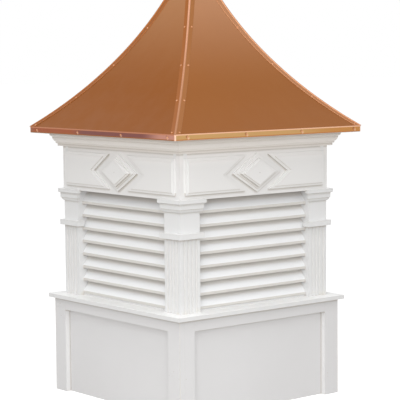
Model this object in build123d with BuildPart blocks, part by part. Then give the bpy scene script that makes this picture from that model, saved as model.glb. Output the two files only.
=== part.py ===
import os
from math import radians, sqrt, tan

from build123d import *

os.makedirs("parts", exist_ok=True)

# Square louvred roof cupola. Origin at the middle of the underside, +Z up, front towards -Y.
# Every size is in millimetres and can be set by itself.

# ---- base ----
base_w = 914.4            # overall width of the square base, 36 in
base_h = 429.0            # underside to the ledge
board_t = 25.4            # frame boards of the base
stile_w = 80.0            # upright boards, full width
rail_h = 50.0             # top board between the uprights
panel_t = 12.7            # flat panel behind the frame
panel_lap = 17.0          # panel behind the uprights at each end

# ---- ledge ----
ledge_out = 21.0          # beyond the base
ledge_t = 19.0
ledge_lip = 2.5           # inwards beyond the posts
ledge_round = 2.0

# ---- corner posts ----
post_set = 36.2           # post face behind the base face
post_w = 106.5
post_h = 478.5            # ledge to the frieze
flute_count = 4           # on each outer face
flute_w = 10.4
flute_d = 4.0

# ---- neck band and capital ----
flute_h = 316.5           # ledge to the neck band
neck_h = 24.0
neck_out = 15.8
neck_gap = 0.5            # clearance between its returns and the louvre noses
capital_h = 51.0          # below the frieze
capital_lap = 2.5         # return onto the inner sides of the post
foot_out = 1.5            # curved bell at the bottom
bell_out = 10.5
bell_h = 13.5
bell_bulge = 2.2
band_out = 13.5           # flat band
band_step = 1.2           # short slope under it
abacus_h = 15.5           # square slab at the top
abacus_lap = 4.0          # up over the foot of the frieze
abacus_out = 21.5
abacus_bevel = 5.0

# ---- louvres ----
blade_count = 8
blade_set = 24.5          # noses behind the post face
blade_nose = 11.0         # upright front edge
nose_drop = 1.2           # undercut below it
nose_tuck = 8.0
blade_slope = 55.0        # degrees from level
blade_depth = 44.0        # front edge to the back, level
blade_head = 5.0          # left over the stack of louvres, under the frieze
sill_h = 7.0              # strip under the lowest louvre
sill_t = 12.0

# ---- frieze with raised fields and a diamond ----
frieze_out = 2.2          # beyond the posts
frieze_t = 25.4
frieze_h = 197.0          # posts to the cornice
field_t = 12.7            # thickness of a field, and of each layer of the diamond
field_foot = 8.0          # upright edge at the bottom of a border
field_lip = 2.4           # upright edge at the top of a border
field_edge = 11.0         # width of the sloped border
field_margin = 27.0       # frieze corner to a field
field_reveal = 22.0       # frieze showing over and under a field
field_gap = 130.0         # between the two fields at their top and bottom
notch_depth = 111.5       # of the V cut into a field
diamond_w = 276.0
diamond_reveal = 14.5     # frieze showing over and under the diamond
diamond_step = 19.0       # second layer inside the first
centre_edge = 7.0         # its own sloped border

# ---- cornice ----
cornice_h = 60.0
fascia_out = 17.8         # lowest flat band
fascia_h = 11.5
bead_out = 23.8           # narrow flat over it
bead_h = 7.0
ovolo_out = 35.3          # rounded slope
ovolo_h = 18.5
ovolo_bulge = 2.0
quirk_h = 4.5             # narrow flat over the slope
crown_out = 43.8          # top flat band
crown_bevel = 7.0

# ---- eave and roof ----
soffit_t = 12.0
soffit_lap = 25.4         # inwards beyond the frieze boards
eave_out = 108.0          # eave beyond the frieze
eave_drop = 2.0           # bottom of the copper band over the top of the cornice
eave_h = 26.0
eave_round = 5.0          # upright corners of the band
lip_h = 5.2               # rolled edge along the top of the band
lip_out = 0.8
lip_round = 2.3
copper_t = 2.0
sheet_drop = 1.5          # sheets meet the band below its top
roof_rise = 713.0         # band to the top of the sheets
roof_top_w = 56.0
roof_curve = 1611.0       # radius of the concave sweep
seat = 0.3                # clearance of copper laid over a curved sheet
hip_flange = 20.5         # flat flange of a hip cap, square to the hip in plan
hip_t = 1.5
rib_w = 8.0               # raised rib along the hip
rib_h = 4.0

# ---- peak ----
cap_lap = 30.0            # cap down over the sheets
cap_wall = 3.0
cap_h = 46.0
collar_r = 15.0
collar_h = 45.0
collar_bevel = 2.0
rod_r = 8.0               # bore for a weathervane rod

# ---- levels and half-widths that follow ----
base_x = base_w / 2
board_x = base_x - board_t
ledge_x = base_x + ledge_out
post_x = base_x - post_set
open_x = post_x - post_w
nose_x = post_x - blade_set
frieze_x = post_x + frieze_out
eave_x = frieze_x + eave_out
band_x = eave_x - lip_out
inner_x = band_x - copper_t
top_x = roof_top_w / 2

ledge_z = base_h + ledge_t
neck_z = ledge_z + flute_h
frieze_z = ledge_z + post_h
capital_z = frieze_z - capital_h
cornice_z = frieze_z + frieze_h
soffit_z = cornice_z + cornice_h
band_z = soffit_z + eave_drop
eave_z = band_z + eave_h
peak_z = eave_z + roof_rise
cap_z = peak_z - cap_lap

RIGHT_HIP = Plane(origin=(0, 0, 0), z_dir=(1, 1, 0))
LEFT_HIP = Plane(origin=(0, 0, 0), z_dir=(-1, 1, 0))


def write(piece, label, count=1, start=0):
    """Set copies of a piece round the upright axis and write them as one sub-part."""
    with BuildPart() as node:
        with PolarLocations(0, count, start_angle=start):
            add(piece)
    node.part.label = label
    export_step(node.part, f"parts/{label}.step")


def write_pairs(piece, label):
    """Write one pair for the front and back faces, and one for the two sides."""
    write(piece, f"{label}_front_back", 2)
    write(piece, f"{label}_sides", 2, start=90)


def mitre():
    """Cut the run being built along the front face on both corner diagonals."""
    split(bisect_by=RIGHT_HIP, keep=Keep.BOTTOM)
    split(bisect_by=LEFT_HIP, keep=Keep.BOTTOM)


# ---- base: boards round a flat panel; the side boards run through to the corners ----
with BuildPart() as side_stiles:
    for side in (-1, 1):
        with Locations((base_x, side * base_x, 0)):
            Box(board_t, stile_w, base_h, align=(Align.MAX, Align.MAX if side > 0 else Align.MIN, Align.MIN))
write(side_stiles.part, "base_stiles_sides", 2)

front_stile_w = stile_w - board_t
with BuildPart() as front_stiles:
    for side in (-1, 1):
        with Locations((side * board_x, -base_x, 0)):
            Box(front_stile_w, board_t, base_h,
                align=(Align.MAX if side > 0 else Align.MIN, Align.MIN, Align.MIN))
write(front_stiles.part, "base_stiles_front_back", 2)

panel_w = base_w - 2 * stile_w
with BuildPart() as rail:
    with Locations((0, -base_x, base_h)):
        Box(panel_w, board_t, rail_h, align=(Align.CENTER, Align.MIN, Align.MAX))
write(rail.part, "base_rails", 4)

with BuildPart() as panel:
    with Locations((0, -board_x, 0)):
        Box(panel_w + 2 * panel_lap, panel_t, base_h, align=(Align.CENTER, Align.MIN, Align.MIN))
write(panel.part, "base_panels", 4)

# ---- ledge: four mitred boards with a softened nose ----
with BuildPart() as ledge:
    with BuildSketch(Plane.YZ) as ledge_section:
        with Locations((-ledge_x, base_h)):
            Rectangle(ledge_x - open_x + ledge_lip, ledge_t, align=(Align.MIN, Align.MIN))
        fillet(ledge_section.vertices().group_by(Axis.X)[0], ledge_round)
    extrude(amount=ledge_x, both=True)
    mitre()
write_pairs(ledge.part, "ledge")

# ---- corner posts: flutes on the two outer faces, up to the neck band ----
flute_r = (flute_w**2 / 4 + flute_d**2) / (2 * flute_d)
flute_step = post_w / (flute_count + 1)
with BuildPart() as post:
    with Locations((open_x, -open_x, ledge_z)):
        Box(post_w, post_w, post_h, align=(Align.MIN, Align.MAX, Align.MIN))
    with BuildSketch(Plane.XY.offset(ledge_z)):
        for i in range(flute_count):
            along = open_x + flute_step * (i + 1)
            axis_x = post_x + flute_r - flute_d
            with Locations((along, -axis_x), (axis_x, -along)):
                Circle(flute_r)
    extrude(amount=flute_h, mode=Mode.SUBTRACT)
write(post.part, "corner_posts", 4)

# ---- mouldings mitred round a post: neck bands return to the louvres, capitals only lap the sides ----


def round_post(back_x):
    """Path round the outer faces of a post, from and to a depth on its inner sides."""
    with BuildLine() as path:
        Polyline((back_x, -open_x), (post_x, -open_x), (post_x, -post_x), (open_x, -post_x),
                 (open_x, -back_x))
    return path.wire()


def section_at(back_x):
    """Plane across the start of that path, with its X outwards from the post and its Y up."""
    return Plane(origin=(back_x, -open_x, 0), x_dir=(0, 1, 0), z_dir=(1, 0, 0))


neck_back = nose_x + neck_gap
with BuildPart() as neck:
    with BuildSketch(section_at(neck_back)):
        with Locations((0, neck_z)):
            Rectangle(neck_out, neck_h, align=(Align.MIN, Align.MIN))
    sweep(path=round_post(neck_back), transition=Transition.RIGHT)
write(neck.part, "neck_bands", 4)

capital_back = post_x - capital_lap
bell_z = capital_z + bell_h
abacus_top = frieze_z + abacus_lap
abacus_z = abacus_top - abacus_h
with BuildPart() as capital:
    with BuildSketch(section_at(capital_back)):
        with BuildLine():
            bell = SagittaArc((foot_out, capital_z), (bell_out, bell_z), -bell_bulge)
            Polyline(bell @ 1, (band_out, bell_z + band_step), (band_out, abacus_z - abacus_bevel),
                     (abacus_out, abacus_z), (abacus_out, abacus_top), (0, abacus_top), (0, capital_z),
                     bell @ 0)
        make_face()
    sweep(path=round_post(capital_back), transition=Transition.RIGHT)
    with Locations((0, 0, frieze_z)):
        Box(2 * frieze_x, 2 * frieze_x, abacus_lap, align=(Align.CENTER, Align.CENTER, Align.MIN),
            mode=Mode.SUBTRACT)
write(capital.part, "capitals", 4)

# ---- louvres: sloped blades between the posts, and a strip under the lowest ----
blade_pitch = (post_h - sill_h - blade_head) / blade_count
slope = tan(radians(blade_slope))
blade_back = -nose_x + blade_depth
with BuildPart() as blades:
    with BuildSketch(Plane.YZ):
        for i in range(blade_count):
            under_z = ledge_z + sill_h + blade_pitch * i
            front_z = under_z + nose_drop
            with BuildLine():
                Polyline((-nose_x, front_z), (-nose_x, front_z + blade_nose),
                         (blade_back, front_z + blade_nose + blade_depth * slope),
                         (blade_back, under_z + (blade_depth - nose_tuck) * slope),
                         (-nose_x + nose_tuck, under_z), close=True)
            make_face()
    extrude(amount=open_x, both=True)
for turn, face_name in enumerate(("front", "right", "back", "left")):
    write(blades.part, f"louver_blades_{face_name}", start=90 * turn)

with BuildPart() as sill:
    with Locations((0, -nose_x, ledge_z)):
        Box(2 * open_x, sill_t, sill_h, align=(Align.CENTER, Align.MIN, Align.MIN))
write(sill.part, "louver_sills", 4)

# ---- frieze boards, mitred, behind the cornice to the soffit ----
with BuildPart() as frieze:
    with Locations((0, -frieze_x, frieze_z)):
        Box(2 * frieze_x, frieze_t, soffit_z - frieze_z, align=(Align.CENTER, Align.MIN, Align.MIN))
    mitre()
write_pairs(frieze.part, "frieze")

field_z = (frieze_z + cornice_z) / 2


FRIEZE = Plane(origin=(0, -frieze_x, field_z), x_dir=(1, 0, 0), z_dir=(0, -1, 0))


def raised(points, edge, inset=0, layer=0):
    """A block on the front frieze with a border that steps, slopes in and steps again."""
    shoulder = field_t - field_lip
    with BuildPart() as block:
        with BuildSketch(FRIEZE.offset(layer * field_t)):
            Polygon(*points, align=None)
            offset(amount=-inset, kind=Kind.INTERSECTION)
        extrude(amount=shoulder)
        front = block.faces().sort_by(Axis.Y)[0]
        chamfer(front.edges(), length=edge, length2=shoulder - field_foot, reference=front)
        extrude(block.faces().sort_by(Axis.Y)[0], amount=field_lip)
    return block.part


near = field_gap / 2
far = frieze_x - field_margin
high = frieze_h / 2 - field_reveal
notched = (near, high), (far, high), (far, -high), (near, -high), (near + notch_depth, 0)
field = raised(notched, field_edge)
with BuildPart() as fields:
    add(field)
    mirror(about=Plane.YZ)
write(fields.part, "frieze_fields", 4)

tip = diamond_w / 2
point = frieze_h / 2 - diamond_reveal
diamond = (tip, 0), (0, point), (-tip, 0), (0, -point)
write(raised(diamond, field_edge), "diamond_blocks", 4)
write(raised(diamond, centre_edge, inset=diamond_step, layer=1), "diamond_centres", 4)

# ---- cornice: fascia, bead, quarter round and crown, mitred ----
bead_z = cornice_z + fascia_h
ovolo_z = bead_z + bead_h
quirk_z = ovolo_z + ovolo_h
crown_z = quirk_z + quirk_h
with BuildPart() as cornice:
    with BuildSketch(Plane.YZ):
        with BuildLine():
            ovolo = SagittaArc((-frieze_x - bead_out, ovolo_z), (-frieze_x - ovolo_out, quirk_z), ovolo_bulge)
            Polyline(ovolo @ 0, (-frieze_x - bead_out, bead_z), (-frieze_x - fascia_out, bead_z),
                     (-frieze_x - fascia_out, cornice_z), (-frieze_x, cornice_z), (-frieze_x, soffit_z),
                     (-frieze_x - crown_out, soffit_z), (-frieze_x - crown_out, crown_z + crown_bevel),
                     (-frieze_x - ovolo_out, crown_z), ovolo @ 1)
        make_face()
    extrude(amount=frieze_x + crown_out, both=True)
    mitre()
write_pairs(cornice.part, "cornice")

# ---- soffit boards from behind the frieze to the copper band ----
with BuildPart() as soffit:
    with Locations((0, -inner_x, soffit_z)):
        Box(2 * inner_x, inner_x - frieze_x + frieze_t + soffit_lap, soffit_t,
            align=(Align.CENTER, Align.MIN, Align.MIN))
    mitre()
write_pairs(soffit.part, "soffit")

# ---- copper eave band with rounded corners and a rolled top edge ----
with BuildPart() as eave:
    with BuildSketch(Plane.XY.offset(band_z)):
        RectangleRounded(2 * band_x, 2 * band_x, eave_round)
    extrude(amount=eave_h)
    with BuildSketch(Plane.XY.offset(eave_z - lip_h)):
        RectangleRounded(2 * eave_x, 2 * eave_x, eave_round + lip_out)
    extrude(amount=lip_h)
    fillet(eave.faces().sort_by(Axis.Z)[-1].outer_wire().edges(), lip_round)
    with BuildSketch(Plane.XY.offset(band_z)):
        Rectangle(2 * inner_x, 2 * inner_x)
    extrude(amount=eave_h, mode=Mode.SUBTRACT)
    mitre()
write_pairs(eave.part, "eave_band")

# ---- roof: four concave copper sheets meeting at the hips ----
foot_z = eave_z - sheet_drop
sweep_arc = RadiusArc((-inner_x, foot_z), (-top_x, peak_z), -roof_curve)
centre = sweep_arc.arc_center


def roof_x(z):
    """Half-width of the outside of the roof at a height."""
    return -centre.X - sqrt(roof_curve**2 - (centre.Y - z) ** 2)


def roof_layer(under, over, low, high, reach):
    """The front roof face as a solid run, from under its outside to over it, between two heights."""
    with BuildPart() as layer:
        with BuildSketch(Plane.YZ):
            with Locations((centre.X, centre.Y)):
                Circle(roof_curve + under)
                Circle(roof_curve - over, mode=Mode.SUBTRACT)
            with Locations((0, low)):
                Rectangle(reach, high - low, align=(Align.MAX, Align.MIN), mode=Mode.INTERSECT)
        extrude(amount=reach, both=True)
    return layer.part


with BuildPart() as sheet:
    add(roof_layer(copper_t, 0, band_z, peak_z, inner_x))
    mitre()
write_pairs(sheet.part, "roof_sheets")

# ---- hip caps: flat flanges and a raised rib over each hip ----


def hip_strip(width, over):
    """Strip of the front roof face beside the right-hand hip."""
    with BuildPart() as strip:
        add(roof_layer(-seat, over, eave_z, cap_z, eave_x + 2 * over))
        split(bisect_by=RIGHT_HIP, keep=Keep.BOTTOM)
        split(bisect_by=RIGHT_HIP.offset(-width), keep=Keep.TOP)
    return strip.part


with BuildPart() as hip_cap:
    add(hip_strip(hip_flange, hip_t + seat))
    add(hip_strip(rib_w / 2, rib_h))
    mirror(about=RIGHT_HIP)
write(hip_cap.part, "hip_caps", 4)

# ---- cap over the peak, and a collar for a weathervane rod ----


def taper(low, high, low_x, high_x):
    """Square block between two heights, with its half-width at each."""
    with BuildPart() as block:
        for z, half in ((low, low_x), (high, high_x)):
            with BuildSketch(Plane.XY.offset(z)):
                Rectangle(2 * half, 2 * half)
        loft(ruled=True)
    return block.part


skirt_low = roof_x(cap_z) + seat
skirt_high = top_x + seat
with BuildPart() as roof_cap:
    add(taper(cap_z, peak_z, skirt_low + cap_wall, skirt_high + cap_wall))
    add(taper(peak_z, peak_z + cap_h, skirt_high + cap_wall, collar_r))
    add(taper(cap_z, peak_z, skirt_low, skirt_high), mode=Mode.SUBTRACT)
    with Locations((0, 0, peak_z)):
        Cylinder(rod_r, cap_h, align=(Align.CENTER, Align.CENTER, Align.MIN), mode=Mode.SUBTRACT)
write(roof_cap.part, "roof_cap")

with BuildPart() as collar:
    with Locations((0, 0, peak_z + cap_h)):
        Cylinder(collar_r, collar_h, align=(Align.CENTER, Align.CENTER, Align.MIN))
        chamfer(collar.edges().group_by(Axis.Z)[-1], collar_bevel)
        Cylinder(rod_r, collar_h, align=(Align.CENTER, Align.CENTER, Align.MIN), mode=Mode.SUBTRACT)
write(collar.part, "rod_collar")
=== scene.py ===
import math

import bmesh
import bpy
from mathutils import Matrix, Vector
from mathutils.bvhtree import BVHTree


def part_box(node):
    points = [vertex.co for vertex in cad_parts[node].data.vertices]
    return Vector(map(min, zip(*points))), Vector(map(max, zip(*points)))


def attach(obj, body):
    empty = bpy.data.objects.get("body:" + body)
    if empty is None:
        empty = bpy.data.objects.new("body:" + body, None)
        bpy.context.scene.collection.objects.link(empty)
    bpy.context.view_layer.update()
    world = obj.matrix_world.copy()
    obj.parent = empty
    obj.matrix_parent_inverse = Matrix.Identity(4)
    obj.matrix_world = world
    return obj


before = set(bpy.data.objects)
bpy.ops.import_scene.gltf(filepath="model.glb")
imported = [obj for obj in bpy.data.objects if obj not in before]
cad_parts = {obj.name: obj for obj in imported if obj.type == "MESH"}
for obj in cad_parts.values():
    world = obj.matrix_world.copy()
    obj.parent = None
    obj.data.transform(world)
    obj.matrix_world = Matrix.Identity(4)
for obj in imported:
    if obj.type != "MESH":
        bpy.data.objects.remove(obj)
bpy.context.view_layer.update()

# A square roof cupola: white vinyl body, copper roof. Metres, +Z up, front towards -Y.

# ---- edges, small fixings and marks ----
EDGE_ROUND = 0.0005           # softened edges of the boards and the copper
WELD = 0.00001                # vertices this close are one
SHARP_ANGLE = math.radians(30)

RIVET_R = 0.0045              # domed rivet heads
RIVET_H = 0.0017
RIVET_FOOT = 0.0003           # upright edge under the dome
RIVET_PIN_R = 0.0014          # hole that the pin leaves in the middle of a head
PIN_TAPER = 0.8               # floor of that hole against its mouth
EAVE_RIVET_STEP = 0.3175      # along each side of the eave band
EAVE_RIVET_UP = 0.0125        # above the lower edge of the band
EAVE_RIVET_ASIDE = {"eave_band_front_back": 0.012, "eave_band_sides": 0.003}
LIP_OUT = 0.0008              # face of the eave band behind its rolled lip
DIMPLE_R = 0.011              # metal drawn in round an eave rivet
DIMPLE_DEEP = 0.0015
RIVET_SHADE_MARK_R = 0.008               # painted shade beside a rivet, and the painted highlight across from it
HIP_RIVET_STEP = 0.226        # along the slope of a hip
HIP_RIVET_FIRST = 0.009       # from the lower end of a hip cap
HIP_RIVET_OFF = 0.016         # from the middle of the hip, in plan
HIP_EAVE_GAP = 0.003          # from the eave band's face to where the search for rivet spots starts
HIP_TOP_GAP = 0.01            # no rivet closer than this under the top of a cap
ABOVE_ROOF = 3.0              # height that the search looks down from
NAIL_R = 0.0016
NAIL_SUNK = 0.0003            # foot of the nail mark inside the diamond, then its rim and middle over it
NAIL_RIM = 0.0001
NAIL_MIDDLE = 0.0002

# ---- colours, linear ----
VINYL = (0.785, 0.788, 0.79)
VINYL_SHADE = (0.77, 0.773, 0.774)
FRIEZE = (0.835, 0.828, 0.82)
FRIEZE_SHADE = (0.82, 0.812, 0.803)
# painted light at the frieze's top, lifting the shade under the cornice
FRIEZE_TOP_LIGHT = (0.895, 0.878, 0.866)
FRIEZE_END_HIGHLIGHT = (0.86, 0.858, 0.852)     # painted highlight on the upright border at the outer end of a field
# the cornice's warm, darker tone is painted shade under the eave; its foot gets painted light
CORNICE_PAINTED_SHADE = (0.765, 0.712, 0.668)
CORNICE_PAINTED_SHADE_VARIANT = (0.75, 0.695, 0.65)
CORNICE_FOOT_LIGHT = (0.875, 0.835, 0.797)
BASE_VINYL = (0.765, 0.762, 0.77)
BASE_SHADE = (0.745, 0.742, 0.748)
# painted light on the stiles' returns
BASE_RETURN_LIGHT = (0.86, 0.86, 0.86)
BLADE = (0.885, 0.897, 0.907)
BLADE_SHADE = (0.875, 0.886, 0.895)
# painted shade on the louvre noses, and warm painted shade deep between the blades
BLADE_NOSE_SHADE = (0.69, 0.67, 0.635)
BLADE_INNER_SHADE = (0.82, 0.79, 0.75)
SPECK = (0.42, 0.33, 0.24)
# painted light on faces that look up, and painted shade in thin lines under edges
TOP_PAINTED_LIGHT = (0.905, 0.905, 0.90)
UNDER_EDGE_PAINTED_SHADE = (0.42, 0.365, 0.29)
PAINTED_SHADE_REACH = 0.012           # how far the painted shade reaches below an edge
PAINTED_SHADE_MOST = 0.60
PAINTED_SHADE_FROM = 0.40             # openness to the sky at which the painted shade is darkest, and at which it ends
PAINTED_SHADE_TO = 0.95
RUN_OFF = (0.74, 0.69, 0.58)
# roof sheet copper at the foot; the two pairs differ by a painted reflection
SHEET_LOW = {
    "roof_sheets_sides": (0.315, 0.096, 0.009),
    "roof_sheets_front_back": (0.34, 0.123, 0.031),
}
# paler painted reflection towards the peak
SHEET_PEAK_REFLECTION = {
    "roof_sheets_sides": (0.475, 0.226, 0.100),
    "roof_sheets_front_back": (0.52, 0.26, 0.137),
}
CAP = (0.51, 0.25, 0.118)
CAP_SHADE = (0.45, 0.20, 0.085)
# hip cap tones: the changes between sides and front, right and back are painted reflections; the rib's
# pale tone is a painted highlight, paler up the hip
FLANGE_SIDES = (0.40, 0.135, 0.03)
FLANGE_FRONT = (0.40, 0.165, 0.057)
FLANGE_FAR_REFLECTION = (0.51, 0.25, 0.13)
FLANGE_BACK_REFLECTION = (0.38, 0.135, 0.04)
RIB_HIGHLIGHT = (0.76, 0.395, 0.25)
RIB_LOW_HIGHLIGHT = (0.53, 0.255, 0.135)
RIB_FAR_REFLECTION = (0.53, 0.27, 0.15)
RIB_BACK_REFLECTION = (0.35, 0.13, 0.04)
HIP_GLANCE = (0.62, 0.38, 0.25)       # tarnish dulls the right hips at a glancing angle
# eave band tones: the gold and the plum and their changes along each band are painted reflections; the
# lip tones and the corner tone are painted highlights
GOLD = (0.555, 0.328, 0.133)
GOLD_FAR = (0.515, 0.24, 0.075)
GOLD_FOOT = (0.48, 0.20, 0.07)
GOLD_LIP_HIGHLIGHT = (0.80, 0.48, 0.31)
PLUM = (0.23, 0.09, 0.078)
PLUM_NEAR = (0.535, 0.262, 0.197)
PLUM_FAR = (0.35, 0.103, 0.045)
PLUM_END = (0.32, 0.13, 0.074)
PLUM_FOOT = (0.33, 0.13, 0.045)
PLUM_LIP_HIGHLIGHT = (0.52, 0.22, 0.12)
CORNER_HIGHLIGHT = (0.68, 0.43, 0.31)
# painted shade beside each eave rivet, also the darker tarnish in the copper's mottling; then the
# painted highlight across from it
RIVET_SHADE_AND_TARNISH = (0.20, 0.075, 0.05)
RIVET_HIGHLIGHT = (0.85, 0.55, 0.40)
RIVET = ((0.55, 0.27, 0.14), (0.62, 0.33, 0.19))
NAIL = (0.30, 0.27, 0.25)
NAIL_PALE = (0.45, 0.42, 0.40)
FLOOR_SEEN = (0.90, 0.90, 0.90)
FLOOR_BOUNCE = (0.56, 0.54, 0.515)     # what the floor sends back up at the body
FLOOR_LIFT = 0.45                     # whitens the floor where it is looked at
WHITE = (1.0, 1.0, 1.0)

# ---- where tones change, in metres from the edge that each comment names ----
MIDDLE = 0.04                 # either side of the middle, tones of one half pass into the other's
FRIEZE_TOP_FROM = 0.13        # above the frieze's foot
FRIEZE_TOP_FULL = 0.18
CORNICE_FOOT_FROM = 0.06      # above the cornice's foot
CORNICE_FOOT_FULL = 0.02
END_OUT = (0.023, 0.019)      # from the frieze's corner: the painted highlight on the end border fades towards the corner
END_IN = (0.042, 0.039)       # and away from it
END_CLEAR = (0.031, 0.034)    # from the frieze's top and foot
SOIL_UP = 0.03                # above the posts' foot
SOIL_MOST = 0.35
SPECK_FROM = 0.09             # from the base's corners
SPECK_FULL = 0.07
RETURN_FROM = 0.0008          # behind the stiles' face
RETURN_FULL = 0.002
RETURN_END = 0.0005           # in front of the panel
STREAK_FROM = 0.006           # from the base's corners
STREAK_FULL = 0.001
NOSE_FROM = 0.0003            # behind the louvre noses
NOSE_TO = 0.0009
INNER_FROM = 0.013
INNER_FULL = 0.024
CLIMB_FROM = 0.15             # above the sheets' foot
CLIMB_LEFT = 0.05             # below their peak
RIB_CLIMB = 0.60              # above the hip caps' foot
RIB_EDGE = (0.004, 0.008)     # from the middle of a hip to the rib's side
FOOT_LINE = (0.0025, 0.006)   # above the eave bands' foot
LIP_LINE = (0.006, 0.0035)    # below their top
CORNER_LINE = (0.008, 0.004)  # from their corners

# ---- surfaces ----
VINYL_ROUGH = (0.36, 0.48)
VINYL_SPECULAR = 0.45
VINYL_WAVES = 0.0004
VINYL_GRAIN = 0.000006
COPPER_ROUGH = (0.41, 0.47)
COPPER_WAVES = 0.0012
COPPER_GRAIN = 0.00002
BAND_WAVES = 0.002
STAIN_MOST = 0.10
MARK_MOST = 0.5

# ---- light ----
AMBIENT = 0.64
LAMP_AWAY = 5.0
LAMP_AIM = 0.9                # height that the lamps point at
LAMPS = (                     # name, power, azimuth, elevation, diameter
    ("low_light", 79, -41, 5, 4.0),
    ("high_light", 128, -46, 55, 6.0),
    ("key_light", 18, -42, 62, 1.5),
)
FLOOR_HALF = 60


# ---------------------------------------------------------------- mesh helpers

def piece(name, mesh, material):
    """A new smooth-shaded object on the part, from a bmesh."""
    data = bpy.data.meshes.new(name)
    mesh.to_mesh(data)
    mesh.free()
    for face in data.polygons:
        face.use_smooth = True
    data.materials.append(material)
    obj = bpy.data.objects.new(name, data)
    bpy.context.scene.collection.objects.link(obj)
    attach(obj, "root")
    return obj


def turned_form(mesh, profile, place, segments=20):
    """Adds a form turned about Z from (radius, height) points, moved to a place."""
    rings = []
    for radius, height in profile:
        if radius == 0:
            rings.append([mesh.verts.new(place @ Vector((0, 0, height)))])
            continue
        ring = []
        for i in range(segments):
            angle = 2 * math.pi * i / segments
            point = Vector((radius * math.cos(angle), radius * math.sin(angle), height))
            ring.append(mesh.verts.new(place @ point))
        rings.append(ring)
    for lower, upper in zip(rings, rings[1:]):
        for i in range(segments):
            j = (i + 1) % segments
            if len(upper) == 1:
                mesh.faces.new((lower[i], lower[j], upper[0]))
            else:
                mesh.faces.new((lower[i], lower[j], upper[j], upper[i]))


def facing(point, normal):
    """Matrix that stands a form's Z axis on a surface."""
    return Matrix.Translation(point) @ normal.to_track_quat("Z", "Y").to_matrix().to_4x4()


def surface_of(node):
    """Search tree over the faces of a CAD node."""
    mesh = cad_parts[node].data
    points = [v.co.copy() for v in mesh.vertices]
    faces = [list(face.vertices) for face in mesh.polygons]
    return BVHTree.FromPolygons(points, faces)


# ---------------------------------------------------------------- node helpers

class Graph:
    """Short calls for building one material's nodes."""

    def __init__(self, name):
        self.material = bpy.data.materials.new(name)
        self.material.use_nodes = True
        self.nodes = self.material.node_tree.nodes
        self.links = self.material.node_tree.links
        self.shader = self.nodes["Principled BSDF"]
        self.place = self.add("ShaderNodeTexCoord").outputs["Object"]

    def add(self, kind, **settings):
        node = self.nodes.new(kind)
        for key, value in settings.items():
            setattr(node, key, value)
        return node

    def put(self, socket, value):
        """Links an output to a socket, or sets a plain value on it."""
        if isinstance(value, bpy.types.NodeSocket):
            self.links.new(value, socket)
        else:
            socket.default_value = value

    def math(self, operation, *values):
        node = self.add("ShaderNodeMath", operation=operation)
        for socket, value in zip(node.inputs, values):
            self.put(socket, value)
        return node.outputs[0]

    def ramp(self, value, low, high, to_low=0.0, to_high=1.0):
        """Maps low..high smoothly to to_low..to_high."""
        node = self.add("ShaderNodeMapRange", interpolation_type="SMOOTHSTEP")
        for socket, number in zip(node.inputs, (value, low, high, to_low, to_high)):
            self.put(socket, number)
        return node.outputs[0]

    def mix(self, factor, a, b):
        """Mixes two colours."""
        node = self.add("ShaderNodeMix", data_type="RGBA")
        self.put(node.inputs["Factor"], factor)
        for socket, colour in ((node.inputs[6], a), (node.inputs[7], b)):
            self.put(socket, colour if isinstance(colour, bpy.types.NodeSocket) else (*colour, 1))
        return node.outputs[2]

    def noise(self, scale, detail=3.0, stretch=(1, 1, 1)):
        mapping = self.add("ShaderNodeMapping")
        self.put(mapping.inputs["Vector"], self.place)
        mapping.inputs["Scale"].default_value = stretch
        node = self.add("ShaderNodeTexNoise")
        self.put(node.inputs["Vector"], mapping.outputs[0])
        node.inputs["Scale"].default_value = scale
        node.inputs["Detail"].default_value = detail
        return node.outputs[0]

    def bump(self, height, depth, normal=None):
        node = self.add("ShaderNodeBump")
        node.inputs["Strength"].default_value = 1.0
        node.inputs["Distance"].default_value = depth
        self.put(node.inputs["Height"], height)
        if normal is not None:
            self.put(node.inputs["Normal"], normal)
        return node.outputs[0]

    def axes(self):
        node = self.add("ShaderNodeSeparateXYZ")
        self.put(node.inputs[0], self.place)
        return node.outputs

    def length(self, a, b):
        """Length of a plane vector."""
        squares = self.math("ADD", self.math("MULTIPLY", a, a), self.math("MULTIPLY", b, b))
        return self.math("SQRT", squares)

    def stages(self, value, first, *stops):
        """Runs from colour to colour along a value, each stop with its start, end and colour."""
        colour = first
        for start, end, after in stops:
            colour = self.mix(self.ramp(value, start, end), colour, after)
        return colour

    def far_from_middle(self, x, y):
        """The larger of |x| and |y|: distance from the middle to a face of the square."""
        return self.math("MAXIMUM", self.math("ABSOLUTE", x), self.math("ABSOLUTE", y))

    def near_corner(self, x, y):
        """The smaller of |x| and |y|: grows along a face towards its corners."""
        return self.math("MINIMUM", self.math("ABSOLUTE", x), self.math("ABSOLUTE", y))


# ---------------------------------------------------------------- materials

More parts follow.
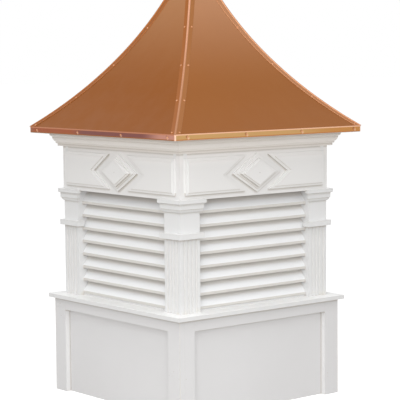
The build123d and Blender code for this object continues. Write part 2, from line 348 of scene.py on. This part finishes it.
def painted_light_and_shade(g, colour):
    """Painted light where it looks up, and thin lines of painted shade where an edge above shelters it.
    """
    normal = g.add("ShaderNodeNewGeometry").outputs["Normal"]
    tilt = g.add("ShaderNodeSeparateXYZ")
    g.put(tilt.inputs[0], normal)
    colour = g.mix(g.ramp(tilt.outputs[2], 0.5, 0.95), colour, TOP_PAINTED_LIGHT)
    raised = g.add("ShaderNodeVectorMath", operation="ADD")
    g.put(raised.inputs[0], normal)
    raised.inputs[1].default_value = (0, 0, 1)
    upwards = g.add("ShaderNodeVectorMath", operation="NORMALIZE")
    g.put(upwards.inputs[0], raised.outputs[0])
    occlusion = g.add("ShaderNodeAmbientOcclusion", samples=16)
    occlusion.inputs["Distance"].default_value = PAINTED_SHADE_REACH
    g.put(occlusion.inputs["Normal"], upwards.outputs[0])
    shade_amount = g.ramp(tilt.outputs[2], -0.3, 0.6, PAINTED_SHADE_MOST, 0.0)
    shaded = g.ramp(occlusion.outputs["AO"], PAINTED_SHADE_FROM, PAINTED_SHADE_TO, 1.0, 0.0)
    return g.mix(g.math("MULTIPLY", shade_amount, shaded), colour, UNDER_EDGE_PAINTED_SHADE)


def vinyl_graph(name, light, shade):
    """Satin white extruded vinyl: slightly uneven tone, painted light and painted shade, faint waves
    along the boards.
    """
    g = Graph(name)
    colour = painted_light_and_shade(g, g.mix(g.ramp(g.noise(2.0), 0.30, 0.70), light, shade))
    g.put(g.shader.inputs["Roughness"], g.ramp(g.noise(40.0), 0.3, 0.7, *VINYL_ROUGH))
    g.shader.inputs["Specular IOR Level"].default_value = VINYL_SPECULAR
    waves = g.bump(g.noise(9.0, 1.0), VINYL_WAVES)
    g.put(g.shader.inputs["Normal"], g.bump(g.noise(700.0, 2.0), VINYL_GRAIN, waves))
    return g, colour


def plain_vinyl(name, light, shade):
    g, colour = vinyl_graph(name, light, shade)
    g.put(g.shader.inputs["Base Color"], colour)
    return g.material


def cornice_vinyl():
    """Vinyl of the cornice: warm painted shade, with painted light towards its foot."""
    g, colour = vinyl_graph("vinyl_cornice", CORNICE_PAINTED_SHADE, CORNICE_PAINTED_SHADE_VARIANT)
    z = g.axes()[2]
    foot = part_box("cornice_sides")[0].z
    lower = g.ramp(z, foot + CORNICE_FOOT_FROM, foot + CORNICE_FOOT_FULL)
    g.put(g.shader.inputs["Base Color"], g.mix(lower, colour, painted_light_and_shade(g, CORNICE_FOOT_LIGHT)))
    return g.material


def frieze_vinyl():
    """Vinyl of the frieze: painted light at the top, and painted highlights on the borders at the
    fields' outer ends.
    """
    g, colour = vinyl_graph("vinyl_frieze", FRIEZE, FRIEZE_SHADE)
    x, y, z = g.axes()
    low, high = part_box("frieze_sides")
    upper = g.ramp(z, low.z + FRIEZE_TOP_FROM, low.z + FRIEZE_TOP_FULL)
    colour = g.mix(upper, colour, painted_light_and_shade(g, FRIEZE_TOP_LIGHT))
    end_highlights = g.stages(g.near_corner(x, y), colour,
                    (high.x - END_IN[0], high.x - END_IN[1], FRIEZE_END_HIGHLIGHT),
                    (high.x - END_OUT[0], high.x - END_OUT[1], colour))
    between = g.math("MULTIPLY",
                     g.ramp(z, low.z + END_CLEAR[0], low.z + END_CLEAR[1]),
                     g.ramp(z, high.z - END_CLEAR[1], high.z - END_CLEAR[0], 1.0, 0.0))
    g.put(g.shader.inputs["Base Color"], g.mix(between, colour, end_highlights))
    return g.material


def post_vinyl():
    """Vinyl of the posts, faintly soiled at their foot."""
    g, colour = vinyl_graph("vinyl_posts", VINYL, VINYL_SHADE)
    z = g.axes()[2]
    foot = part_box("corner_posts")[0].z
    soil = g.math("MULTIPLY",
                  g.ramp(z, foot, foot + SOIL_UP, SOIL_MOST, 0.0),
                  g.ramp(g.noise(25.0), 0.45, 0.65))
    g.put(g.shader.inputs["Base Color"], g.mix(soil, colour, RUN_OFF))
    return g.material


def base_vinyl():
    """Vinyl of the base, duller, with painted light on the stile returns, a few specks and run-off down
    the corners.
    """
    g, colour = vinyl_graph("vinyl_base", BASE_VINYL, BASE_SHADE)
    x, y, _ = g.axes()
    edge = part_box("base_stiles_sides")[1].x
    beside = g.near_corner(x, y)
    cells = g.add("ShaderNodeTexVoronoi")
    g.put(cells.inputs["Vector"], g.place)
    cells.inputs["Scale"].default_value = 55.0
    patchy = g.math("MULTIPLY",
                    g.ramp(g.noise(7.0, 2.0), 0.58, 0.64),
                    g.ramp(beside, edge - SPECK_FROM, edge - SPECK_FULL))
    specks = g.math("MULTIPLY", g.ramp(cells.outputs["Distance"], 0.05, 0.13, 0.7, 0.0), patchy)
    colour = g.mix(specks, colour, SPECK)
    inwards = g.math("SUBTRACT", edge, g.far_from_middle(x, y))
    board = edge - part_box("base_panels")[1].x
    return_light = g.math("MULTIPLY",
                      g.ramp(inwards, RETURN_FROM, RETURN_FULL),
                      g.ramp(inwards, board - RETURN_FULL, board - RETURN_END, 1.0, 0.0))
    colour = g.mix(return_light, colour, painted_light_and_shade(g, BASE_RETURN_LIGHT))
    streak = g.math("MULTIPLY",
                    g.ramp(beside, edge - STREAK_FROM, edge - STREAK_FULL),
                    g.ramp(g.noise(6.0, 2.0, (1, 1, 0.5)), 0.40, 0.60, 0.05, 0.3))
    g.put(g.shader.inputs["Base Color"], g.mix(streak, colour, RUN_OFF))
    return g.material


def blade_vinyl():
    """Vinyl of the louvres: cool slopes, painted shade on the noses, and warmer painted shade further
    in.
    """
    g, colour = vinyl_graph("vinyl_blades", BLADE, BLADE_SHADE)
    x, y, _ = g.axes()
    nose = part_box("louver_blades_front")[0].y
    depth = g.math("SUBTRACT", -nose, g.far_from_middle(x, y))
    colour = g.stages(depth, BLADE_NOSE_SHADE,
                      (NOSE_FROM, NOSE_TO, colour),
                      (INNER_FROM, INNER_FULL, BLADE_INNER_SHADE))
    g.put(g.shader.inputs["Base Color"], colour)
    return g.material


def copper_graph(name):
    """Satin sheet copper: long shallow waves and fine grain under a colour that the caller sets."""
    g = Graph(name)
    g.shader.inputs["Metallic"].default_value = 1.0
    g.put(g.shader.inputs["Roughness"], g.ramp(g.noise(14.0, 5.0), 0.3, 0.7, *COPPER_ROUGH))
    waves = g.bump(g.noise(3.5, 1.0), COPPER_WAVES)
    g.put(g.shader.inputs["Normal"], g.bump(g.noise(900.0, 2.0), COPPER_GRAIN, waves))
    return g


def stained(g, colour):
    """Soft mottling of darker tarnish over a copper colour."""
    stain = g.math("MULTIPLY", g.ramp(g.noise(3.0, 4.0), 0.40, 0.75), STAIN_MOST)
    return g.mix(stain, colour, g.mix(0.5, colour, RIVET_SHADE_AND_TARNISH))


def sheet_copper(node):
    """A pair of roof sheets, with a painted reflection that pales them towards the peak."""
    g = copper_graph("copper_" + node)
    z = g.axes()[2]
    foot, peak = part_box(node)
    reflection_climb = g.ramp(z, foot.z + CLIMB_FROM, peak.z - CLIMB_LEFT)
    g.put(g.shader.inputs["Base Color"], stained(g, g.mix(reflection_climb, SHEET_LOW[node], SHEET_PEAK_REFLECTION[node])))
    return g.material


def plain_copper(name, light, shade):
    g = copper_graph(name)
    g.put(g.shader.inputs["Base Color"], g.mix(g.ramp(g.noise(9.0), 0.35, 0.65), light, shade))
    return g.material


def hip_copper():
    """Hip caps: a rib between two flanges, with a painted highlight up the rib and painted reflections
    in other tones on the right and at the back.
    """
    g = copper_graph("copper_hips")
    x, y, z = g.axes()
    right = g.ramp(x, -MIDDLE, MIDDLE)
    back = g.ramp(y, -MIDDLE, MIDDLE)
    g.put(g.shader.inputs["Specular Tint"], g.mix(right, WHITE, HIP_GLANCE))
    front = g.mix(right, FLANGE_FRONT, FLANGE_FAR_REFLECTION)
    side = g.mix(back, FLANGE_SIDES, FLANGE_BACK_REFLECTION)
    width = g.math("ABSOLUTE", x)
    reach = g.math("ABSOLUTE", y)
    is_side = g.math("GREATER_THAN", width, reach)
    off_hip = g.math("ABSOLUTE", g.math("SUBTRACT", width, reach))
    colour = stained(g, g.mix(is_side, front, side))
    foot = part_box("hip_caps")[0].z
    rib = g.mix(g.ramp(z, foot, foot + RIB_CLIMB), RIB_LOW_HIGHLIGHT, RIB_HIGHLIGHT)
    rib = g.mix(right, rib, RIB_FAR_REFLECTION)
    rib = g.mix(back, rib, RIB_BACK_REFLECTION)
    g.put(g.shader.inputs["Base Color"], g.mix(g.ramp(off_hip, *RIB_EDGE, 1.0, 0.0), colour, rib))
    return g.material


def band_copper(node, along, tones, lip, foot):
    """One pair of eave bands: painted reflections in tones along it, painted highlights on the lip and
    corners, painted shade and a painted highlight beside each rivet.
    """
    g = copper_graph("copper_" + node)
    axes = g.axes()
    x, y, z = axes
    low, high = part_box(node)
    run = axes[along]
    colour = stained(g, g.stages(run, *tones))
    colour = g.mix(g.ramp(z, low.z + FOOT_LINE[0], low.z + FOOT_LINE[1], 1.0, 0.0), colour, foot)
    colour = g.mix(g.ramp(z, high.z - LIP_LINE[0], high.z - LIP_LINE[1]), colour, lip)
    outwards = g.math("SIGN", axes[1 - along])
    to_right = g.math("MULTIPLY", outwards, 1.0 if along else -1.0)
    seen_right = g.math("SUBTRACT", g.math("MULTIPLY", run, to_right), EAVE_RIVET_ASIDE[node])
    in_step = g.math("FLOORED_MODULO", seen_right, EAVE_RIVET_STEP)
    across = g.math("SUBTRACT", in_step, EAVE_RIVET_STEP / 2)
    up = g.math("SUBTRACT", z, low.z + EAVE_RIVET_UP)
    for aside, spot in ((-0.4, RIVET_SHADE_AND_TARNISH), (0.5, RIVET_HIGHLIGHT)):
        near = g.length(g.math("ADD", across, -aside * RIVET_SHADE_MARK_R), g.math("ADD", up, aside * RIVET_SHADE_MARK_R))
        colour = g.mix(g.ramp(near, RIVET_SHADE_MARK_R * 0.4, RIVET_SHADE_MARK_R, MARK_MOST, 0.0), colour, spot)
    corner = g.ramp(g.near_corner(x, y), high.x - CORNER_LINE[0], high.x - CORNER_LINE[1])
    g.put(g.shader.inputs["Base Color"], g.mix(corner, colour, CORNER_HIGHLIGHT))
    dimple = g.ramp(g.length(across, up), RIVET_R, DIMPLE_R)
    waves = g.bump(g.noise(3.5, 1.0), BAND_WAVES)
    g.put(g.shader.inputs["Normal"], g.bump(dimple, DIMPLE_DEEP, waves))
    return g.material


def nail_fill():
    """Small set nail, filled and gone slightly grey."""
    g = Graph("nail_fill")
    g.put(g.shader.inputs["Base Color"], g.mix(g.noise(300.0), NAIL, NAIL_PALE))
    g.shader.inputs["Roughness"].default_value = 0.6
    return g.material


# ---------------------------------------------------------------- finishes of the CAD nodes

def clean_edges():
    """Geometry nodes that join a node's faces at their edges and shade them by angle."""
    group = bpy.data.node_groups.new("clean_edges", "GeometryNodeTree")
    group.interface.new_socket("Geometry", in_out="INPUT", socket_type="NodeSocketGeometry")
    group.interface.new_socket("Geometry", in_out="OUTPUT", socket_type="NodeSocketGeometry")
    add = group.nodes.new
    link = group.links.new
    start = add("NodeGroupInput")
    end = add("NodeGroupOutput")
    forget = add("GeometryNodeRemoveAttribute")
    forget.inputs["Name"].default_value = "custom_normal"
    weld = add("GeometryNodeMergeByDistance")
    weld.inputs["Distance"].default_value = WELD
    smooth = add("GeometryNodeSetShadeSmooth")
    sharpen = add("GeometryNodeSetShadeSmooth")
    sharpen.domain = "EDGE"
    sharpen.inputs["Shade Smooth"].default_value = False
    angle = add("GeometryNodeInputMeshEdgeAngle")
    over = add("FunctionNodeCompare")
    over.operation = "GREATER_THAN"
    over.inputs["B"].default_value = SHARP_ANGLE
    link(start.outputs[0], forget.inputs["Geometry"])
    link(forget.outputs[0], weld.inputs["Geometry"])
    link(weld.outputs[0], smooth.inputs["Geometry"])
    link(smooth.outputs[0], sharpen.inputs["Geometry"])
    link(angle.outputs["Unsigned Angle"], over.inputs["A"])
    link(over.outputs[0], sharpen.inputs["Selection"])
    link(sharpen.outputs[0], end.inputs[0])
    return group


def finish_node(node, material, edges):
    """Gives a CAD node its material and softly rounded edges."""
    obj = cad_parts[node]
    obj.data.materials.clear()
    obj.data.materials.append(material)
    tidy = obj.modifiers.new("edges", "NODES")
    tidy.node_group = edges
    bevel = obj.modifiers.new("round", "BEVEL")
    bevel.width = EDGE_ROUND
    bevel.segments = 2
    bevel.limit_method = "ANGLE"
    bevel.angle_limit = SHARP_ANGLE
    bevel.harden_normals = True


def finish_nodes():
    """Materials and edges for every CAD node: copper by name, vinyl by how a name begins."""
    edges = clean_edges()
    body = plain_vinyl("vinyl_body", VINYL, VINYL_SHADE)
    cornice = cornice_vinyl()
    frieze = frieze_vinyl()
    vinyl = {
        "cornice_": cornice,
        "frieze_": frieze,
        "diamond_": frieze,
        "corner_posts": post_vinyl(),
        "base_": base_vinyl(),
        "louver_blades_": blade_vinyl(),
    }
    cap = plain_copper("copper_cap", CAP, CAP_SHADE)
    gold = (GOLD, (0.10, 0.40, GOLD_FAR))
    plum = (PLUM_NEAR, (-0.45, -0.30, PLUM), (0.10, 0.22, PLUM_FAR), (0.49, 0.52, PLUM_END))
    copper = {
        "roof_sheets_front_back": sheet_copper("roof_sheets_front_back"),
        "roof_sheets_sides": sheet_copper("roof_sheets_sides"),
        "roof_cap": cap,
        "rod_collar": cap,
        "hip_caps": hip_copper(),
        "eave_band_front_back": band_copper("eave_band_front_back", 0, gold, GOLD_LIP_HIGHLIGHT, GOLD_FOOT),
        "eave_band_sides": band_copper("eave_band_sides", 1, plum, PLUM_LIP_HIGHLIGHT, PLUM_FOOT),
    }
    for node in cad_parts:
        material = copper.get(node, body)
        for beginning, special in vinyl.items():
            if node.startswith(beginning):
                material = special
        finish_node(node, material, edges)


# ---------------------------------------------------------------- rivets and nails

def rivet(mesh, point, normal):
    """A domed blind rivet with the hole of its pin."""
    steps = 6
    profile = [(RIVET_R, -RIVET_FOOT), (RIVET_R, RIVET_FOOT)]
    for i in range(1, steps):
        angle = 0.5 * math.pi * i / steps
        radius = RIVET_PIN_R + (RIVET_R - RIVET_PIN_R) * math.cos(angle)
        profile.append((radius, RIVET_FOOT + RIVET_H * math.sin(angle)))
    profile.append((RIVET_PIN_R, RIVET_FOOT + RIVET_H))
    profile.append((RIVET_PIN_R * PIN_TAPER, RIVET_H * 0.5))
    profile.append((0, RIVET_H * 0.4))
    turned_form(mesh, profile, facing(point, normal))


def eave_rivets(material):
    """Four rivets along each side of the eave band."""
    mesh = bmesh.new()
    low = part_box("eave_band_front_back")[0]
    face = low.y + LIP_OUT
    for quarter in range(4):
        turn = Matrix.Rotation(quarter * math.pi / 2, 4, "Z")
        aside = EAVE_RIVET_ASIDE["eave_band_sides" if quarter % 2 else "eave_band_front_back"]
        for k in (-1.5, -0.5, 0.5, 1.5):
            point = Vector((k * EAVE_RIVET_STEP + aside, face, low.z + EAVE_RIVET_UP))
            rivet(mesh, turn @ point, turn @ Vector((0, -1, 0)))
    return piece("eave_rivets", mesh, material)


def hip_rivets(material):
    """Rivets up both flanges of each hip cap, at even distances along the slope."""
    mesh = bmesh.new()
    caps = surface_of("hip_caps")
    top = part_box("hip_caps")[1].z
    aside = HIP_RIVET_OFF * math.sqrt(2)
    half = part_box("eave_band_front_back")[1].x - HIP_EAVE_GAP
    gone = HIP_RIVET_STEP - HIP_RIVET_FIRST
    step = 0.0005
    last = None
    spots = []
    while half > aside:
        start = Vector((half - aside, -half, ABOVE_ROOF))
        point, normal, _, _ = caps.ray_cast(start, Vector((0, 0, -1)))
        half -= step
        if point is None:
            continue
        if last is not None:
            gone += math.hypot(step * math.sqrt(2), point.z - last.z)
        last = point
        if gone >= HIP_RIVET_STEP and point.z < top - HIP_TOP_GAP:
            gone -= HIP_RIVET_STEP
            spots.append((point, normal))
    for quarter in range(4):
        turn = Matrix.Rotation(quarter * math.pi / 2, 4, "Z")
        for point, normal in spots:
            for side in (1, -1):
                flip = Matrix.Diagonal((side, 1, 1, 1))
                rivet(mesh, turn @ flip @ point, (turn @ flip).to_3x3() @ normal)
    return piece("hip_rivets", mesh, material)


def nails(material):
    """One filled nail in the middle of each diamond."""
    mesh = bmesh.new()
    low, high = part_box("diamond_centres")
    for quarter in range(4):
        turn = Matrix.Rotation(quarter * math.pi / 2, 4, "Z")
        point = Vector((0, low.y, (low.z + high.z) / 2))
        place = facing(turn @ point, turn @ Vector((0, -1, 0)))
        turned_form(mesh, [(NAIL_R, -NAIL_SUNK), (NAIL_R, NAIL_RIM), (0, NAIL_MIDDLE)], place, 12)
    return piece("diamond_nails", mesh, material)


# ---------------------------------------------------------------- stage, light and camera

def white_floor():
    """A wide pale floor that keeps the shadow and is whitened where it is looked at."""
    mesh = bmesh.new()
    bmesh.ops.create_grid(mesh, x_segments=8, y_segments=8, size=FLOOR_HALF)
    data = bpy.data.meshes.new("floor")
    mesh.to_mesh(data)
    mesh.free()
    g = Graph("floor_white")
    path = g.add("ShaderNodeLightPath")
    seen = g.math("MAXIMUM", path.outputs["Is Camera Ray"], path.outputs["Is Glossy Ray"])
    seen = g.math("MAXIMUM", seen, path.outputs["Is Transmission Ray"])
    g.put(g.shader.inputs["Base Color"], g.mix(seen, FLOOR_BOUNCE, FLOOR_SEEN))
    g.shader.inputs["Roughness"].default_value = 0.9
    g.shader.inputs["Specular IOR Level"].default_value = 0.0
    g.shader.inputs["Emission Color"].default_value = (*WHITE, 1)
    g.put(g.shader.inputs["Emission Strength"], g.math("MULTIPLY", seen, FLOOR_LIFT))
    data.materials.append(g.material)
    floor = bpy.data.objects.new("floor", data)
    bpy.context.scene.collection.objects.link(floor)


def white_world():
    """Plain ambient light. The camera, gloss and glass see it white."""
    world = bpy.data.worlds.new("white_world")
    world.use_nodes = True
    bpy.context.scene.world = world
    nodes = world.node_tree.nodes
    links = world.node_tree.links
    path = nodes.new("ShaderNodeLightPath")
    seen = nodes.new("ShaderNodeMath")
    seen.operation = "MAXIMUM"
    links.new(path.outputs["Is Camera Ray"], seen.inputs[0])
    links.new(path.outputs["Is Glossy Ray"], seen.inputs[1])
    seen_all = nodes.new("ShaderNodeMath")
    seen_all.operation = "MAXIMUM"
    links.new(seen.outputs[0], seen_all.inputs[0])
    links.new(path.outputs["Is Transmission Ray"], seen_all.inputs[1])
    level = nodes.new("ShaderNodeMapRange")
    links.new(seen_all.outputs[0], level.inputs["Value"])
    level.inputs["To Min"].default_value = AMBIENT
    level.inputs["To Max"].default_value = 1.0
    background = nodes["Background"]
    background.inputs["Color"].default_value = (*WHITE, 1)
    links.new(level.outputs[0], background.inputs["Strength"])


def soft_box(name, power, azimuth, elevation, size):
    """A round soft box, LAMP_AWAY from the body. Azimuth 0 shines from the front, 90 from the right."""
    lamp = bpy.data.lights.new(name, "AREA")
    lamp.shape = "DISK"
    lamp.size = size
    lamp.energy = power
    obj = bpy.data.objects.new(name, lamp)
    a = math.radians(azimuth)
    e = math.radians(elevation)
    towards = Vector((math.sin(a) * math.cos(e), -math.cos(a) * math.cos(e), math.sin(e)))
    obj.rotation_euler = towards.to_track_quat("Z", "Y").to_euler()
    obj.location = Vector((0, 0, LAMP_AIM)) + towards * LAMP_AWAY
    bpy.context.scene.collection.objects.link(obj)


def camera():
    """The camera stands off the front left corner, seven metres away and about 1.5 m up."""
    yaw = math.radians(-39.386)
    down = math.radians(5.371)
    roll = math.radians(-0.469)
    aim = Vector((0.0198, -0.0163, 0.8756))
    distance = 7.1563
    data = bpy.data.cameras.new("camera")
    data.sensor_width = 36
    data.lens = 142.236
    obj = bpy.data.objects.new("camera", data)
    bpy.context.scene.collection.objects.link(obj)
    bpy.context.scene.camera = obj
    level = Matrix.Rotation(yaw, 4, "Z") @ Matrix.Rotation(math.pi / 2 - down, 4, "X")
    turn = level @ Matrix.Rotation(roll, 4, "Z")
    eye = aim - distance * (turn.to_3x3() @ Vector((0, 0, -1)))
    obj.matrix_world = Matrix.Translation(eye) @ turn


finish_nodes()
rivet_copper = plain_copper("copper_rivet", *RIVET)
eave_rivets(rivet_copper)
hip_rivets(rivet_copper)
nails(nail_fill())
white_floor()
white_world()
for lamp in LAMPS:
    soft_box(*lamp)
camera()
bpy.context.scene.view_settings.view_transform = "Standard"
